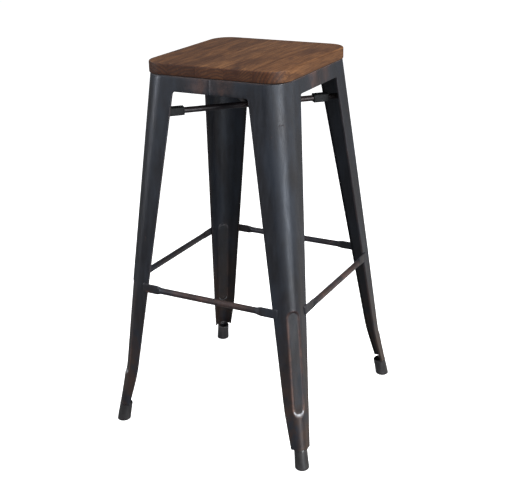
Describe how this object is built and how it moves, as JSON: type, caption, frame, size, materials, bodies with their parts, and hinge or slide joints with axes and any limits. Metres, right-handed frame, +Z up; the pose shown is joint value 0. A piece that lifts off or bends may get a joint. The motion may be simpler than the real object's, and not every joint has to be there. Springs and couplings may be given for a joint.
{
  "type": "bar stool with footrest",
  "caption": "Backless bar stool: square glued-board wooden seat on a splayed pressed-steel frame, with footrest rails all round and a crossed brace under the seat.",
  "frame": {"origin": "centre of the footprint, on the floor", "axes": "+Z up, the front side faces -Y, +X to the right as seen from the front"},
  "size_m": [0.4536, 0.4536, 0.762],
  "materials": {
    "seat_wood": "dark walnut-brown stain, open grain, satin lacquer",
    "frame_paint": "gunmetal lacquer, semi-gloss, rubbed to copper brown on the edges",
    "pan_paint": "gunmetal lacquer, semi-gloss",
    "fastener": "bright zinc plate",
    "bumper_plastic": "moulded black plastic, fine texture",
    "foot_rubber": "moulded dark rubber, slightly dusty"
  },
  "bodies": {
    "root": {"seat_plank_1": "seat_wood", "seat_plank_2": "seat_wood", "seat_plank_3": "seat_wood", "seat_plank_4": "seat_wood", "seat_plank_5": "seat_wood", "seat_pan": "pan_paint", "seat_screws": "fastener", "seat_washers": "fastener", "leg_front_left": "frame_paint", "leg_front_right": "frame_paint", "leg_rear_left": "frame_paint", "leg_rear_right": "frame_paint", "rail_front": "frame_paint", "rail_rear": "frame_paint", "rail_left": "frame_paint", "rail_right": "frame_paint", "brace_long": "frame_paint", "brace_short_front": "frame_paint", "brace_short_rear": "frame_paint", "bumper_front_left": "bumper_plastic", "bumper_front_right": "bumper_plastic", "bumper_rear_left": "bumper_plastic", "bumper_rear_right": "bumper_plastic", "foot_front_left": "foot_rubber", "foot_front_right": "foot_rubber", "foot_rear_left": "foot_rubber", "foot_rear_right": "foot_rubber"}
  },
  "joints": []
}
